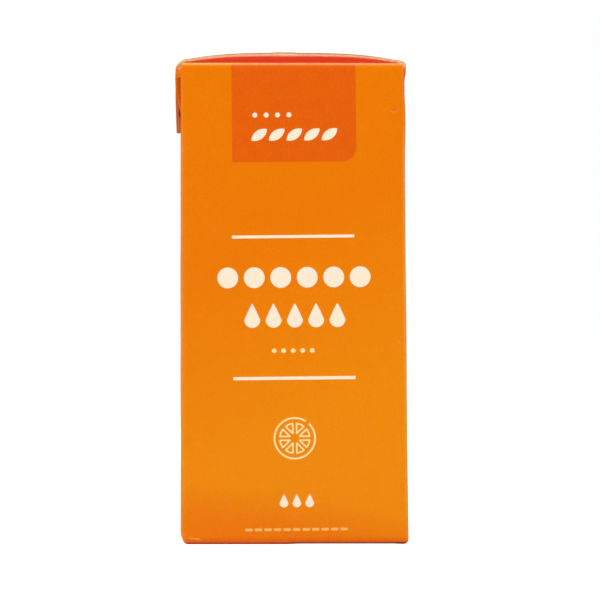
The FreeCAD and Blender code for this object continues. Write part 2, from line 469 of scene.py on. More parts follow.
def groundWithPaintedShading(tree, x, z):
    shares = []
    for start, end, slant in (layout["fall"], layout["rise"]):
        line = workOut(tree, x, ("MULTIPLY", slant), ("ADD", z))
        shares.append(put(tree, "MapRange", {"Value": line, "From Min": start, "From Max": end}).outputs[0])
    ground = layOver(tree, ink["panel"], ink["litLowPanel"], bothOf(tree, *shares))
    # painted shade: darker and redder towards the base, where the panel turns under
    start, end = layout["footShade"]
    footShade = put(tree, "MapRange", {"Value": z, "From Min": start, "From Max": end})
    return layOver(tree, ground, ink["footShade"], footShade)


def printedColour(tree, x, y, z, topMask):
    u, v, onSide, onPanel = printPlaces(tree, x, y, z)
    masks = {"cream": [], "pale": [], "faint": []}
    for row in layout["rows"]:
        masks[row.get("ink", "cream")].append(rowMask(tree, u, v, row))
    sideRules = []
    for height, length, thick in layout["rules"]:
        for rules, long in ((masks["cream"], length), (sideRules, layout["sideRule"])):
            box = boxDistance(tree, u, v, (0, height), (long / 2, thick / 2), layout["rounding"])
            rules.append(inked(tree, box))
    onFront = {name: bothOf(tree, eitherOf(tree, parts), onPanel) for name, parts in masks.items()}
    creamMask = eitherOf(tree, [onFront["cream"], bothOf(tree, eitherOf(tree, sideRules), onSide)])
    paleMask = eitherOf(tree, [onFront["pale"], sliceMask(tree, u, v, layout["slice"])])
    colour = groundWithPaintedShading(tree, x, z)
    colour = layOver(tree, colour, ink["tab"], bothOf(tree, tabField(tree, u, v), onPanel))
    colour = layOver(tree, colour, ink["top"], topMask)
    colour = layOver(tree, colour, ink["cream"], creamMask)
    colour = layOver(tree, colour, ink["pale"], paleMask)
    return layOver(tree, colour, ink["faint"], onFront["faint"])


boardFinish = {
    "mottleSize": 5.0,  # flat inks never lie quite even
    "mottle": (0.985, 1.015),
    "baseCreaseShade": 0.85,  # painted shade along the base crease
    "rubAndHighlightSize": 1.6,  # painted highlight and ink rubbed thin along the other creases, in patches
    "rubAndHighlight": (0.5, 0.8),
    "fibreSize": 1.0,  # board fibres are about 1 mm long
    "waveSize": 12.0,  # and the sheet itself waves every 12 mm or so
    "waveShare": 6.0,
    "bumpDepth": 0.012,
    "gloss": (0.22, 0.3),  # polyethylene film over ink
    "topDull": 0.28,  # the top is nearly matt
    "ior": 1.5,
    "specular": 0.2,
}


def objectSizes(tree):
    # where a point is on the carton, in millimetres
    place = put(tree, "TexCoord").outputs["Object"]
    return put(tree, "VectorMath", (place, (1 / mm, 1 / mm, 1 / mm)), operation="MULTIPLY")


def filmCoatedBoard():
    # Liquid carton board: bleached board printed in flat inks under a clear polyethylene film.
    # The film gives a satin gloss; the fibres below leave it faintly uneven.
    finish = boardFinish
    material, tree, shader = newMaterial("filmCoatedPrintedBoard")
    sizes = objectSizes(tree)
    x, y, z = put(tree, "SeparateXYZ", (sizes,)).outputs[:3]
    topMask = topField(tree, x, y, z)
    colour = printedColour(tree, x, y, z, topMask)

    # painted shade along the base crease
    baseCreaseShadeFac = put(tree, "Attribute", attribute_name="baseCreaseShade").outputs["Fac"]
    colour = layOver(tree, colour, ink["baseCreaseShade"], workOut(tree, baseCreaseShadeFac, ("MULTIPLY", finish["baseCreaseShade"])))
    # painted highlight along the creases, partly ink rubbed thin there
    rubAndHighlightFac = put(tree, "Attribute", attribute_name="rubAndHighlight").outputs["Fac"]
    blotches = put(tree, "TexNoise", {"Vector": sizes, "Scale": 1 / finish["rubAndHighlightSize"], "Detail": 3.0})
    rubAndHighlight = put(tree, "MapRange", {"Value": blotches, "From Min": 0.35, "From Max": 0.7,
                                 "To Min": finish["rubAndHighlight"][0], "To Max": finish["rubAndHighlight"][1]})
    colour = layOver(tree, colour, ink["rubAndHighlight"], bothOf(tree, rubAndHighlight, rubAndHighlightFac))
    mottle = put(tree, "TexNoise", {"Vector": sizes, "Scale": 1 / finish["mottleSize"], "Detail": 4.0,
                                    "Roughness": 0.6})
    bright = put(tree, "MapRange", {"Value": mottle, "From Min": 0.3, "From Max": 0.7,
                                    "To Min": finish["mottle"][0], "To Max": finish["mottle"][1]})
    toned = put(tree, "VectorMath", {0: colour, "Scale": bright}, operation="SCALE")

    fibres = put(tree, "TexNoise", {"Vector": sizes, "Scale": 1 / finish["fibreSize"], "Detail": 5.0,
                                    "Roughness": 0.55})
    waves = put(tree, "TexNoise", {"Vector": sizes, "Scale": 1 / finish["waveSize"], "Detail": 2.0})
    height = workOut(tree, waves, ("MULTIPLY", finish["waveShare"]), ("ADD", fibres))
    bump = put(tree, "Bump", {"Height": height, "Strength": 1.0, "Distance": finish["bumpDepth"] * mm})
    gloss = put(tree, "MapRange", {"Value": fibres, "From Min": 0.3, "From Max": 0.7,
                                   "To Min": finish["gloss"][0], "To Max": finish["gloss"][1]})
    dulled = workOut(tree, gloss, ("ADD", workOut(tree, topMask, ("MULTIPLY", finish["topDull"]))))
    join(tree, shader, {"Base Color": toned, "Roughness": dulled, "Normal": bump, "IOR": finish["ior"],
                        "Specular IOR Level": finish["specular"]})
    return material


edgeFinish = {
    "bright": "#FFEEB6",
    "stained": "#FFC87C",
    "sideShade": "#E07A3A",         # painted shade: darker and more orange where the fin's edge is bent down the sides
    "sideShadeFrom": (1.5, -3.0),  # between these heights over the top crease
    "rim": "#7C4012",            # film and ink show as a dark line along the edge's upper rim
    "fibreSize": 1.2,
    "fibreDepth": 0.08,
    "roughness": (0.75, 0.95),
}


def cutBoardEdge():
    # Slit carton board: the bare cut edge of bleached fibre between two films, matt and a little fuzzy.
    finish = edgeFinish
    material, tree, shader = newMaterial("rawCutBoardEdge")
    sizes = objectSizes(tree)
    fibre = put(tree, "TexNoise", {"Vector": sizes, "Scale": 1 / finish["fibreSize"], "Detail": 5.0,
                                   "Roughness": 0.7})
    stain = put(tree, "MapRange", {"Value": fibre, "From Min": 0.35, "From Max": 0.68})
    colour = layOver(tree, finish["bright"], finish["stained"], stain)
    height = put(tree, "SeparateXYZ", (sizes,)).outputs["Z"]
    # painted shade on the cut edge where it is bent down the sides
    unshadedAt, shadedAt = (crease + over for over in finish["sideShadeFrom"])
    sideShade = put(tree, "MapRange", {"Value": height, "From Min": unshadedAt, "From Max": shadedAt})
    colour = layOver(tree, colour, finish["sideShade"], sideShade)
    rim = put(tree, "Attribute", attribute_name="rim")
    colour = layOver(tree, colour, finish["rim"], rim.outputs["Fac"])
    rough = put(tree, "MapRange", {"Value": fibre, "To Min": finish["roughness"][0],
                                   "To Max": finish["roughness"][1]})
    bump = put(tree, "Bump", {"Height": fibre, "Strength": 0.6, "Distance": finish["fibreDepth"] * mm})
    join(tree, shader, {"Base Color": colour, "Roughness": rough, "Normal": bump})
    return material


board = filmCoatedBoard()
rawEdge = cutBoardEdge()
print("materials made")

# The body: four panels, their upright creases, and the domed top

bodyMesh = {
    "columns": 70,  # steps across the front and the back
    "sideColumns": 44,
    "rows": 130,
    "cornerSteps": 6,
    "footSteps": 6,
    "rollSteps": 10,
    # finer steps where the marks and folds are: start, step, count
    "closeColumns": [(39.6, 0.35, 13), (-41.5, 0.5, 9)],
    "closeRows": [(173.6, 0.35, 10), (80.4, 0.3, 12), (bodyBase + 0.35, 0.35, 15),
                  (bodyTop - 0.6, -0.6, 7)],
}
cornerSteps = bodyMesh["cornerSteps"]


def runs(plan):
    return [start + step * i for start, step, count in plan for i in range(count)]


def stations(count, extra=()):
    even = [-1 + 2 * i / count for i in range(count + 1)]
    return sorted(set(round(v, 5) for v in even + list(extra)))


def bodyRows():
    rows = [bodyBase + (bodyTop - bodyBase) * i / bodyMesh["rows"] for i in range(bodyMesh["rows"] + 1)]
    return sorted(set(round(v, 3) for v in rows + runs(bodyMesh["closeRows"])))


closeShares = [v / (halfWidth - corner) for v in runs(bodyMesh["closeColumns"])]
widthStations = stations(bodyMesh["columns"], [v for v in closeShares if abs(v) < 0.998])
depthStations = stations(bodyMesh["sideColumns"])


def bodyLoop(z, inset, heightAt, fade):
    # one closed line round the carton; heightAt(panel, share) gives its height there
    left, right = leftEdge(z), rightEdge(z)
    front, back = -halfDepth, halfDepth
    middle, half = (left + right) / 2, (right - left) / 2 - corner
    deep = halfDepth - corner
    radius = corner - inset
    corners = {
        "right": (right - corner, front + corner, -90), "back": (right - corner, back - corner, 0),
        "left": (left + corner, back - corner, 90), "front": (left + corner, front + corner, 180),
    }
    loop = []

    def turnTo(name):
        cx, cy, start = corners[name]
        for i in range(1, cornerSteps):
            angle = math.radians(start + 90 * i / cornerSteps)
            x, y = cx + radius * math.cos(angle), cy + radius * math.sin(angle)
            loop.append((x, y, heightAt("corner", 0)))

    for s in widthStations:
        loop.append((middle + s * half, front + inset - relief("front", s, z) * fade, heightAt("front", s)))
    turnTo("right")
    for s in depthStations:
        loop.append((right - inset + relief("right", s, z) * fade, s * deep, heightAt("side", s)))
    turnTo("back")
    for s in reversed(widthStations):
        loop.append((middle + s * half, back - inset + relief("back", s, z) * fade, heightAt("back", s)))
    turnTo("left")
    for s in reversed(depthStations):
        loop.append((left + inset - relief("left", s, z) * fade, s * deep, heightAt("side", s)))
    turnTo("front")
    return loop


def bodyLoops():
    loops = []
    base, footSteps, rollSteps = carton["baseLift"], bodyMesh["footSteps"], bodyMesh["rollSteps"]
    for i in range(footSteps + 1):
        turn = halfPi * i / footSteps
        drop = carton["baseRoll"] * (1 - math.cos(turn))

        def footHeight(panel, s, drop=drop, turn=turn):
            return baseHeight(panel, s) * (1 - math.sin(turn)) + base * math.sin(turn) + drop

        loops.append(bodyLoop(base + drop, corner * (1 - math.sin(turn)), footHeight, math.sin(turn)))
    for z in bodyRows()[1:]:
        loops.append(bodyLoop(z, 0.0, lambda panel, s, z=z: z, 1.0))
    for i in range(1, rollSteps + 1):
        rise = math.sin(halfPi * i / rollSteps)
        height = bodyTop + carton["topRoll"] * rise

        def shoulderHeight(panel, s, rise=rise, height=height):
            if panel != "side":
                return height
            return height + (topHeight(halfWidth - corner, s * (halfDepth - corner)) - crease) * rise ** 3

        loops.append(bodyLoop(height, topRollInset(rise), shoulderHeight, (1 - i / rollSteps) * 0.5))
    return loops


def endSheet(edge, isTop):
    # the top or base sheet, which shares its border with the last or first line
    wide, deep = len(widthStations), len(depthStations)
    frontLine = edge[:wide]
    rightLine = edge[wide + cornerSteps - 1:][:deep]
    backLine = list(reversed(edge[wide + 2 * (cornerSteps - 1) + deep:][:wide]))
    leftLine = list(reversed(edge[2 * wide + 3 * (cornerSteps - 1) + deep:][:deep]))
    points = []
    for j, t in enumerate(depthStations):
        for i, s in enumerate(widthStations):
            if j in (0, deep - 1):
                points.append(frontLine[i] if j == 0 else backLine[i])
                continue
            if i in (0, wide - 1):
                points.append(leftLine[j] if i == 0 else rightLine[j])
                continue
            x = frontLine[i][0] + (backLine[i][0] - frontLine[i][0]) * (t + 1) / 2
            y = leftLine[j][1] + (rightLine[j][1] - leftLine[j][1]) * (s + 1) / 2
            low = frontLine[i][2] + (backLine[i][2] - frontLine[i][2]) * (t + 1) / 2
            hollow = 0.3 * (1 - s * s) * (1 - t * t)  # the base is drawn up a little in the middle
            points.append((x, y, topHeight(x, y) if isTop else low + hollow))
    return points


shadeHighlightAndWear = {
    "baseCreaseShadeFrom": 0.1,  # the painted shade reaches up to this height above the base crease
    "baseCreaseShadeRise": 0.35,  # and fades over this height
    "uprightRubAndHighlight": 0.3,
    "uprightReach": 0.9,
    "uprightEnd": (172, 160),  # no painted highlight or rub on the upright creases near the top
    "creaseDrop": 0.28,  # the painted highlight and rub lie just below the front top crease's line
    "creaseReach": 0.45,
    "creaseRubAndHighlight": 0.72,
    "creaseRubAndHighlightLeft": 0.28,  # and more towards the left
    "scoreRubAndHighlight": 0.6,
    "scoreReach": 0.3,
}


def addShadeHighlightAndWear(piece):
    rubAndHighlight = piece.data.attributes.new("rubAndHighlight", "FLOAT", "POINT")
    baseCreaseShade = piece.data.attributes.new("baseCreaseShade", "FLOAT", "POINT")
    for index, vertex in enumerate(piece.data.vertices):
        x, y, z = (c / mm for c in vertex.co)
        toSide = (rightEdge(z) if x > 0 else -leftEdge(z)) - abs(x)
        toFace = halfDepth - abs(y)
        # painted shade along the base crease, near the panel edges
        lowest = baseHeight("front" if y < -20 else "back", x / halfWidth) + shadeHighlightAndWear["baseCreaseShadeFrom"]
        onEdge = toFace < 1.2 or toSide < 1.2
        baseCreaseShade.data[index].value = bell(max(0.0, z - lowest) / shadeHighlightAndWear["baseCreaseShadeRise"]) if onEdge else 0.0
        # painted highlight, partly rubbed ink, on the upright creases, the front top crease and the scored
        # line
        upright = bell(max(0.0, toSide) / shadeHighlightAndWear["uprightReach"])
        upright *= bell(max(0.0, toFace) / shadeHighlightAndWear["uprightReach"])
        upright *= shadeHighlightAndWear["uprightRubAndHighlight"] * smoothStep(*shadeHighlightAndWear["uprightEnd"], z)
        over = bell((crease - z - shadeHighlightAndWear["creaseDrop"]) / shadeHighlightAndWear["creaseReach"])
        over *= bell(max(0.0, toFace - 1.0) / 0.5)
        if y < 0:
            for mark in marks:
                if mark["scored"]:
                    away = distanceToLine(x, z, mark["from"], mark["to"]) / shadeHighlightAndWear["scoreReach"]
                    over = max(over, shadeHighlightAndWear["scoreRubAndHighlight"] * bell(away))
        over *= shadeHighlightAndWear["creaseRubAndHighlight"] + shadeHighlightAndWear["creaseRubAndHighlightLeft"] * smoothStep(0, -40, x)
        rubAndHighlight.data[index].value = min(1.0, upright + over)


# one patch of the flat sheet for each panel, the printed front the largest
patches = {
    "front": (0.004, 0.004, 0.496, 0.996), "back": (0.504, 0.304, 0.776, 0.996),
    "left": (0.784, 0.304, 0.886, 0.996), "right": (0.894, 0.304, 0.996, 0.996),
    "top": (0.504, 0.004, 0.746, 0.296), "base": (0.754, 0.004, 0.996, 0.296),
}
sheet = {"halfWidth": 47.5, "halfDepth": 31.0, "below": 0.5, "height": 199.0}  # what a patch has to hold


def panelOf(centre, normal):
    beyondSide = abs(centre.x) - halfWidth - (abs(centre.y) - halfDepth)
    if centre.z > crease - 0.02 and normal.z > 0.7:
        return "top"
    if centre.z < carton["baseLift"] + 0.4 and normal.z < -0.7:
        return "base"
    if beyondSide < 0 and abs(normal.x) <= abs(normal.y) or abs(normal.y) > 0.8:
        return "front" if centre.y < 0 else "back"
    return "left" if centre.x < 0 else "right"


def unfold(piece):
    mesh = piece.data
    layer = mesh.uv_layers.new(name="OFBake")
    for face in mesh.polygons:
        name = panelOf(face.center / mm, face.normal)
        u0, v0, u1, v1 = patches[name]
        for loopIndex in face.loop_indices:
            p = mesh.vertices[mesh.loops[loopIndex].vertex_index].co / mm
            acrossShare = (p.x + sheet["halfWidth"]) / (2 * sheet["halfWidth"])
            depthShare = (p.y + sheet["halfDepth"]) / (2 * sheet["halfDepth"])
            heightShare = (p.z + sheet["below"]) / sheet["height"]
            u = depthShare if name in ("left", "right") else acrossShare
            v = depthShare if name in ("top", "base") else heightShare
            layer.data[loopIndex].uv = (u0 + (u1 - u0) * u, v0 + (v1 - v0) * v)


def makeBody():
    loops = bodyLoops()
    points = [p for loop in loops for p in loop]
    faces = gridFaces(len(loops), len(loops[0]), closed=True)
    for edge, isTop in ((loops[-1], True), (loops[0], False)):
        faces += gridFaces(len(depthStations), len(widthStations), len(points))
        points += endSheet(edge, isTop)
    piece = makeObject("cartonBody", points, faces, [board])
    addShadeHighlightAndWear(piece)
    unfold(piece)
    return piece


body = makeBody()
print("body made", len(body.data.polygons), "faces")

# Ears: two plies each, turned down over the sides
ears = {
    "inner": 38.5,  # where the ear leaves the top panel
    "bendAt": 42.6,  # where it begins to turn down
    "tip": 167.6,  # height of the point
    "fold": 0.75,  # radius of the slanting folds
    "left": {"stand": 1.5, "bow": 0.75, "press": 1.15, "flare": 0.0, "tipTuck": 0.3, "bendDrop": 4.8},
    "right": {"stand": 0.12, "bow": 0.0, "press": -0.15, "flare": 0.42, "tipTuck": 0.0, "bendDrop": 2.2},
    "looseFrom": (5, 14),  # the front flap is not held down by the fin, and may bow
    "bowAt": 187.5,
    "bowSpan": 7.5,
    "pressFrom": (7, 11),  # further forward it is pressed to the side near its lower end
    "pressAt": 174.5,
    "pressSpan": 5.0,
    "flareFrom": (189, 192),
    "tuckFrom": (180, 169),  # the point is pressed closer to the side
    "packing": 2.4,  # the inner ply fills the gap; only a shallow slit stays open
    "packFrom": (-0.3, 0.3),
    "packAbove": (190.5, 192.5),
    "climbOver": 27.0,  # the back half climbs over the folded fin and comes down again
    "proud": (0.02, 0.07),  # how far the ear lies over the top panel, inner end and bend
    "narrowAtBend": 1.6,
    "tipWidth": 0.6,
    "webFrom": 188.2,  # the gusset fold joins the front panel down to here
    "webNotch": 0.7,
    "webBow": 0.12,
}
bendSteps, topSteps, sideSteps = 9, 6, 30
acrossSteps, foldSteps = 36, 5
webRows, webColumns = 12, 6


def earPlan(side):
    return ears["left"] if side < 0 else ears["right"]


def earStand(side, y, z):
    # how far the ear's outer face stands off the side panel
    plan = earPlan(side)
    stand = plan["stand"]
    stand += plan["bow"] * smoothStep(*ears["looseFrom"], -y) * bell((z - ears["bowAt"]) / ears["bowSpan"])
    pressed = smoothStep(*ears["pressFrom"], -y) * bell((z - ears["pressAt"]) / ears["pressSpan"])
    stand -= plan["press"] * pressed
    stand += plan["flare"] * smoothStep(*ears["flareFrom"], z)
    return stand - plan["tipTuck"] * smoothStep(*ears["tuckFrom"], z)


def earPacking(fromFront, z):
    return ears["packing"] * max(smoothStep(*ears["packFrom"], fromFront), smoothStep(*ears["packAbove"], z))


def earClimb(y):
    if y < -0.3:
        return 0.0
    return 2 * carton["ply"] * max(0.0, 1 - y / ears["climbOver"]) ** 1.4


def earLine(side, y):
    # the ear's outer face from the top panel to its lower end, at one depth y
    points = []
    low, high = ears["proud"]
    bendDrop = earPlan(side)["bendDrop"]
    startX = ears["bendAt"]
    for i in range(topSteps):
        x = ears["inner"] + (startX - ears["inner"]) * i / topSteps
        points.append((x, topHeight(side * x, y) + low + (high - low) * smoothStep(0, 1, i / topSteps)))
    startZ = topHeight(side * startX, y) + high
    slope = topHeight(side * (startX + 0.5), y) - topHeight(side * (startX - 0.5), y)
    endZ = startZ - bendDrop
    endX = halfWidth + earStand(side, y, endZ) + earClimb(y)
    p0, p3 = Vector((startX, startZ)), Vector((endX, endZ))
    p1 = p0 + Vector((1, slope)).normalized() * (endX - startX) * 0.5
    p2 = p3 + Vector((0, 1)) * bendDrop * 0.5
    for i in range(bendSteps):
        t = i / bendSteps
        q = p0 * (1 - t) ** 3 + p1 * 3 * t * (1 - t) ** 2 + p2 * 3 * t * t * (1 - t) + p3 * t ** 3
        points.append((q.x, q.y))
    for i in range(sideSteps + 1):
        z = endZ + (ears["tip"] - endZ) * i / sideSteps
        points.append((halfWidth + earStand(side, y, z) + earClimb(y) * (1 - 0.15 * i / sideSteps), z))
    return points


def earWidth(index):
    # half the ear's width at each step down its length
    full = halfDepth - corner
    narrow = ears["narrowAtBend"]
    if index < topSteps:
        return full
    if index < topSteps + bendSteps:
        return full - narrow * ((index - topSteps) / bendSteps) ** 2
    return (full - narrow) * (1 - (index - topSteps - bendSteps) / sideSteps) + ears["tipWidth"]


def outward(line, index):
    before, after = line[max(0, index - 1)], line[min(len(line) - 1, index + 1)]
    along = Vector((after[0] - before[0], after[1] - before[1])).normalized()
    return Vector((-along.y, along.x))


def foldRound(edge, push, share):
    # the half round of a slanting fold, from the outer ply to the inner or back
    fold = ears["fold"]
    turned = []
    for i in range(1, foldSteps):
        angle = math.radians((90 if share > 0 else -90) - 180 * i / foldSteps)
        high, wide = math.sin(angle) * fold - fold, math.cos(angle) * fold
        turned.append((edge[0] + push.x * high, edge[1] + wide, edge[2] + push.y * high))
    return turned


def earLoop(side, index):
    # the ear's outline across, at one step down its length
    width = earWidth(index) - ears["fold"]
    onSide = smoothStep(topSteps, topSteps + bendSteps, index)
    outer, inner, pushes = [], [], []
    for i in range(acrossSteps + 1):
        share = -1 + 2 * i / acrossSteps
        y = share * width
        line = earLine(side, y)
        x, z = line[index]
        push = outward(line, index)
        packing = earPacking(y + width, z) if i < acrossSteps else earClimb(y)
        depth = 2 * ears["fold"] + onSide * packing
        outer.append((x, y, z))
        inner.append((x - push.x * depth, y, z - push.y * depth))
        pushes.append(push)
    back = foldRound(outer[-1], pushes[-1], 1)
    front = foldRound(outer[0], pushes[0], -1)
    return [(side * p[0], p[1], p[2]) for p in outer + back + list(reversed(inner)) + front]


def webPoints(side):
    # the gusset: near the top the front panel runs on into the ear's fold
    sunk = ears["fold"] * 0.8
    line = earLine(side, -halfDepth + corner)
    edge = []
    for index in range(topSteps + 3, len(line)):
        push = outward(line, index)
        x, z = line[index]
        edge.append(Vector((x - push.x * sunk, -earWidth(index) + 0.02, z - push.y * sunk)))
    high = min(edge[0].z, crease - 0.4)
    points = []
    for row in range(webRows + 1):
        for step in range(webColumns + 1):
            t = step / webColumns
            low = ears["webFrom"] + ears["webNotch"] * math.sin(math.pi * t)
            z = high + (low - high) * row / webRows
            after = next(i for i, point in enumerate(edge) if point.z <= z + 0.001)
            before = max(0, after - 1)
            gap = edge[before].z - edge[after].z
            ear = edge[before].lerp(edge[after], (edge[before].z - z) / gap if gap else 0.0)
            rise = max(0.0, min(1.0, (z - bodyTop) / carton["topRoll"]))
            radius = corner - topRollInset(rise)
            start = Vector((halfWidth - corner + 0.5 * radius, -halfDepth + corner - 0.87 * radius,
                            min(z, crease - 0.02)))
            point = start.lerp(ear, t) + Vector((0, -ears["webBow"], 0)) * math.sin(math.pi * t)
            points.append((side * point.x, point.y, point.z))
    return points


def makeEar(name, side):
    steps = topSteps + bendSteps + sideSteps + 1
    points = [p for index in range(steps) for p in earLoop(side, index)]
    columns = len(points) // steps
    faces = gridFaces(steps, columns, closed=True)
    faces.append(tuple(range(columns)))
    faces.append(tuple(range((steps - 1) * columns, steps * columns)))
    faces += gridFaces(webRows + 1, webColumns + 1, len(points))
    points += webPoints(side)
    return makeObject(name, points, faces, [board, rawEdge], sharpAngle=60)


leftEar = makeEar("leftEar", -1)
rightEar = makeEar("rightEar", 1)
print("ears made")

# The lap seam: the sheet's outer edge laid over the inner one, up the back and over the top
seam = {"left": -7.7, "right": 1.3, "proud": 0.45, "ease": 1.6}

# The top seal fin: two plies sealed face to face, folded flat to the front, its cut edge bare
fin = {
    "reach": 10.0,
    "thick": 1.15,
    "leftExtra": 0.05,  # it gapes a little left of the middle
    "extraRise": (-45, -25),
    "extraFall": (8, -12),
    "packedBelow": 0.95,  # the turned-down end lies on the ear's plies
    "packedFrom": (-4, -7),  # from these heights under the top crease
    "looseAt": 175.5,
    "looseSpan": 2.5,
    "wander": 0.14,  # how unevenly the edge is cut
    "lift": 0.1,
    "seamThick": 0.25,  # the lap seam runs on through the fin
    "steps": 90,
}
finWaves = {"upperEdge": (3.1, 1.7), "lowerEdge": (2.3, 8.1), "lift": (6.5, 4.4)}  # size of a wave, its start
bareFrom, bareTo = 5, 12         # the part of the fin's outline that is cut edge
rimShades = {5: 1.0, 6: 0.85, 7: 0.05, 9: 0.3, 11: 0.4, 12: 0.8}


def finLine():
    inner = ears["inner"]
    left = [(-x, z) for x, z in reversed(earLine(-1, 0.0))]
    middle = [-inner + 2 * inner * i / fin["steps"] for i in range(1, fin["steps"])]
    middle = [(x, topHeight(x, 0.0) + ears["proud"][0]) for x in middle]
    return left + middle + earLine(1, 0.0)


def seamShare(x):
    # 1 where the lap is, and how it begins and ends
    begun = smoothStep(seam["left"] - 0.15, seam["left"] + 0.15, x)
    return begun * smoothStep(seam["right"] + 0.9, seam["right"] - 0.5, x)


def finWave(name, x, z):
    size, start = finWaves[name]
    return noise.noise(Vector((x / size, z / size, start)))


def finSection(x, z):
    # the fin's outline at one place along it: distance to the front, height over its line
    onTop = smoothStep(crease - 2, crease, z)
    seamRise = fin["seamThick"] * seamShare(x) * onTop
    upper = fin["wander"] * finWave("upperEdge", x, z)
    lower = fin["wander"] * finWave("lowerEdge", x, z)
    lift = fin["lift"] * finWave("lift", x, z)
    reach = fin["reach"]
    gape = smoothStep(*fin["extraFall"], x) * smoothStep(*fin["extraRise"], x)
    thick = fin["thick"] + fin["leftExtra"] * gape
    # on the top the cut edge lies down on the panel in front of it
    seat = topHeight(x, -reach) - topHeight(x, 0) if abs(x) < ears["bendAt"] else -thick
    low = seat * onTop + (1 - onTop) * -thick
    drop = -(low + thick)
    split = low + thick / 2       # the line between the two plies
    if not onTop:
        pressed = smoothStep(crease + fin["packedFrom"][0], crease + fin["packedFrom"][1], z)
        low -= fin["packedBelow"] * (1 - bell((z - fin["looseAt"]) / fin["looseSpan"])) * pressed
    top = seamRise - drop + lift
    return [
        (1.2, -0.01), (-0.4, seamRise), (-3.0, seamRise + 0.02), (-6.0, seamRise - drop * 0.3 + lift * 0.3),
        (-8.6, seamRise - drop * 0.7 + lift * 0.8), (-reach + 0.18 + upper, top),
        (-reach + 0.02 + upper, top - 0.08), (-reach + upper, top - 0.3),
        (-reach + upper, split + 0.05 + lift),
        (-reach + 0.14 + (upper + lower) / 2, split + lift), (-reach + 0.03 + lower, split - 0.06 + lift),
        (-reach + 0.04 + lower, low + 0.06), (-reach + 0.16 + lower, low - 0.12),
        (-6.0, -thick - 0.1), (-1.0, -thick), (1.2, -0.5),
    ]


def makeFin():
    line = finLine()
    points = []
    for index, (x, z) in enumerate(line):
        push = outward(line, index)
        points += [(x + push.x * high, forward, z + push.y * high) for forward, high in finSection(x, z)]
    count = len(points) // len(line)
    faces = gridFaces(len(line), count, closed=True)
    ends = len(faces)
    faces.append(tuple(range(count)))
    faces.append(tuple(range(len(points) - count, len(points))))

    def pick(index):
        return 1 if index >= ends or bareFrom <= index % count < bareTo else 0

    piece = makeObject("topFin", points, faces, [board, rawEdge], pick, sharpAngle=45)
    rim = piece.data.attributes.new("rim", "FLOAT", "POINT")
    for index in range(len(piece.data.vertices)):
        rim.data[index].value = rimShades.get(index % count, 0.0)
    return piece


topFin = makeFin()
print("fin made")


def seamPath(x):
    # up the back panel, round the top crease and forward to the seal
    share = x / (halfWidth - corner)
    deep = halfDepth - corner
    upSteps, rollSteps, backSteps = 90, 10, 28
    path = []
    for i in range(upSteps + 1):
        z = bodyBase + (bodyTop - bodyBase) * i / upSteps
        path.append((halfDepth + relief("back", share, z), z))
    for i in range(1, rollSteps):
        rise = math.sin(halfPi * i / rollSteps)
        path.append((halfDepth - topRollInset(rise), bodyTop + carton["topRoll"] * rise))
    for i in range(backSteps + 1):
        y = deep * (1 - i / backSteps)
        path.append((y, topHeight(x, y)))
    return path


def makeSeam():
    left, right, proud = seam["left"], seam["right"], seam["proud"]
    # across the lap: the cut edge, the flat, and the rise where the inner edge ends under it
    slots = [(left, -0.05), (left + 0.02, proud - 0.08), (left + 0.12, proud)]
    slots += [(left + 1.5 + i * 1.9, proud) for i in range(4)]
    slots += [(right - 0.2 + seam["ease"] * i / 4, proud * (math.cos(math.pi * i / 4) + 1) / 2 - 0.02 * i)
              for i in range(5)]
    points = []
    for x, high in slots:
        path = seamPath(x)
        for index, (y, z) in enumerate(path):
            push = -outward(path, index)
            points.append((x, y + push.x * high, z + push.y * high))
    length = len(points) // len(slots)

    def pick(index):
        return 1 if index < length - 1 else 0

    faces = gridFaces(len(slots), length)
    return makeObject("backSeam", points, faces, [board, rawEdge], pick, sharpAngle=40)


backSeam = makeSeam()
print("seam made")

# Base folds: two ears turned under flat, and the seal fin between them
under = {
    "reach": 28.4,
    "finReach": 33.0,
    "finDepth": 10.0,
    "finLift": 0.06,
    "tipWidth": 0.6,
    "thick": 0.62,
    "bevel": 0.22,
    "insideLeft": 0.9,  # how far the folds keep inside the base creases
    "insideRight": 1.2,
    "insideDeep": 1.3,
}


def makeBaseFolds():
    left = leftEdge(0.6) + under["insideLeft"]
    right = rightEdge(0) - under["insideRight"]
    deep, tip, reach = halfDepth - under["insideDeep"], under["tipWidth"], under["reach"]
    finReach, finDepth = under["finReach"], under["finDepth"]
    outlines = [
        (0.0, [(right, -deep), (right, deep), (right - reach, tip), (right - reach, -tip)]),
        (0.0, [(left, deep), (left, -deep), (left + reach, -tip), (left + reach, tip)]),
        (under["finLift"], [(-finReach, -finDepth), (finReach, -finDepth), (finReach, 0), (-finReach, 0)]),
    ]
    work = bmesh.new()
    for low, outline in outlines:
        bottom = [work.verts.new((x * mm, y * mm, low * mm)) for x, y in outline]
        top = [work.verts.new((x * mm, y * mm, (low + under["thick"]) * mm)) for x, y in outline]
        work.faces.new(list(reversed(bottom)))
        work.faces.new(top)
        for i in range(4):
            work.faces.new((bottom[i], bottom[(i + 1) % 4], top[(i + 1) % 4], top[i]))
    bmesh.ops.recalc_face_normals(work, faces=work.faces)
    bmesh.ops.bevel(work, geom=work.edges[:], offset=under["bevel"] * mm, segments=3, profile=0.6,
                    affect="EDGES")
    mesh = bpy.data.meshes.new("baseFolds")
    work.to_mesh(mesh)
    work.free()
    return finishPiece("baseFolds", mesh, [board], 50)


baseFolds = makeBaseFolds()
pieces = [body, leftEar, rightEar, topFin, backSeam, baseFolds]
for piece in pieces:
    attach(piece, "root")
    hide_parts("carton")
print("base folds made,", len(pieces), "pieces ride on the carton")

# Floor, light and camera

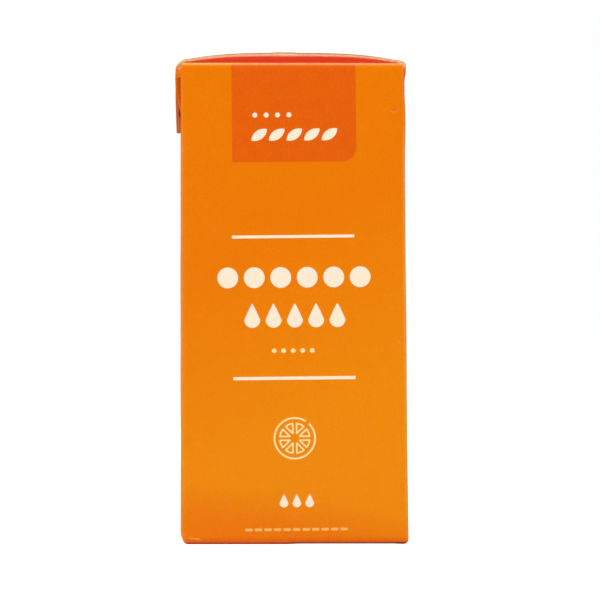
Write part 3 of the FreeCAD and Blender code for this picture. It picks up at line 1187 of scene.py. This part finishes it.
stage = {
    "floorHalf": 6.0,
    "floorColour": "#E8E8E8",
    "floorInGloss": "#202020",   # the carton's film hardly mirrors the paper
    "floorRoughness": 0.9,
    "floorSpecular": 0.1,
    "sweepLift": (0.58, 1.0),  # what the camera sees added to the floor: beside the carton, far away
    "sweepRange": (0.25, 0.9),
    "worldLevel": 0.04,
    "sensor": 36.0,
    "cameraAway": 1.33,  # from the front panel
    "azimuth": -0.8,  # degrees round to the carton's left
    "viewWidth": 242.522,  # what the camera takes in at the front panel
    "aim": (3.1, 98.75),  # the spot on the front panel that it looks at
    "lights": {  # place, spot it faces, width and height, power
        "overheadBox": ((-0.1, -0.4, 1.5), (0.0, 0.0, 0.15), (1.4, 0.9), 13.0),
        "leftBox": ((-1.55, -1.2, 0.7), (0.0, 0.0, 0.1), (1.0, 1.4), 19.6),
        "rightBox": ((1.55, -1.2, 0.55), (0.0, 0.0, 0.1), (1.0, 1.4), 19.6),
        "backLeftBox": ((-1.4, 1.1, 1.0), (0.0, 0.0, 0.1), (1.0, 1.0), 14.0),
        "backRightBox": ((1.4, 1.1, 1.0), (0.0, 0.0, 0.1), (1.0, 1.0), 14.0),
    },
}


def seenByCamera(tree, path):
    return workOut(tree, path.outputs["Is Camera Ray"], ("MAXIMUM", path.outputs["Is Transmission Ray"]))


def whiteSweepPaper():
    # Matt white background paper, uncoated: flat and even, and shown white where nothing shades it.
    material, tree, shader = newMaterial("whiteSweepPaper")
    path = put(tree, "LightPath")
    paper = layOver(tree, stage["floorColour"], stage["floorInGloss"], path.outputs["Is Glossy Ray"])
    join(tree, shader, {"Base Color": paper, "Roughness": stage["floorRoughness"],
                        "Specular IOR Level": stage["floorSpecular"]})
    place = put(tree, "TexCoord").outputs["Object"]
    away = workOut(tree, place, ("LENGTH",))
    near, far = stage["sweepRange"]
    lift = put(tree, "MapRange", {"Value": away, "From Min": near, "From Max": far,
                                  "To Min": stage["sweepLift"][0], "To Max": stage["sweepLift"][1]})
    seen = bothOf(tree, seenByCamera(tree, path), lift)
    glow = put(tree, "Emission", {"Color": (1, 1, 1, 1), "Strength": seen})
    both = put(tree, "AddShader", (shader, glow))
    join(tree, tree.nodes["Material Output"], {"Surface": both})
    return material


def makeFloor():
    half = stage["floorHalf"]
    mesh = bpy.data.meshes.new("floor")
    corners = [(-half, -half, 0), (half, -half, 0), (half, half, 0), (-half, half, 0)]
    mesh.from_pydata(corners, [], [(0, 1, 2, 3)])
    mesh.materials.append(whiteSweepPaper())
    made = bpy.data.objects.new("floor", mesh)
    bpy.context.collection.objects.link(made)
    return made


floor = makeFloor()

world = bpy.data.worlds.new("studio")
bpy.context.scene.world = world
world.use_nodes = True
air = world.node_tree
isSeen = seenByCamera(air, put(air, "LightPath"))
level = put(air, "MapRange", {"Value": isSeen, "To Min": stage["worldLevel"], "To Max": 1.0})
join(air, air.nodes["Background"], {"Color": (1, 1, 1, 1), "Strength": level})

for name, (place, spot, size, power) in stage["lights"].items():
    lamp = bpy.data.lights.new(name, "AREA")
    lamp.shape = "RECTANGLE"
    lamp.size, lamp.size_y = size
    lamp.energy = power
    holder = bpy.data.objects.new(name, lamp)
    bpy.context.collection.objects.link(holder)
    holder.location = place
    holder.rotation_euler = (Vector(spot) - Vector(place)).to_track_quat("-Z", "Y").to_euler()

lens = bpy.data.cameras.new("camera")
lens.sensor_width = stage["sensor"]
lens.lens = stage["sensor"] * stage["cameraAway"] / (stage["viewWidth"] * mm)
lens.clip_start, lens.clip_end = 0.05, 50
camera = bpy.data.objects.new("camera", lens)
bpy.context.collection.objects.link(camera)
turn = math.radians(stage["azimuth"])
centre = Vector((stage["aim"][0] * mm, -halfDepth * mm, stage["aim"][1] * mm))
camera.location = centre + Vector((math.sin(turn), -math.cos(turn), 0)) * stage["cameraAway"]
camera.rotation_euler = (centre - camera.location).to_track_quat("-Z", "Y").to_euler()
bpy.context.scene.camera = camera
bpy.context.scene.view_settings.view_transform = "Standard"
print("stage set")
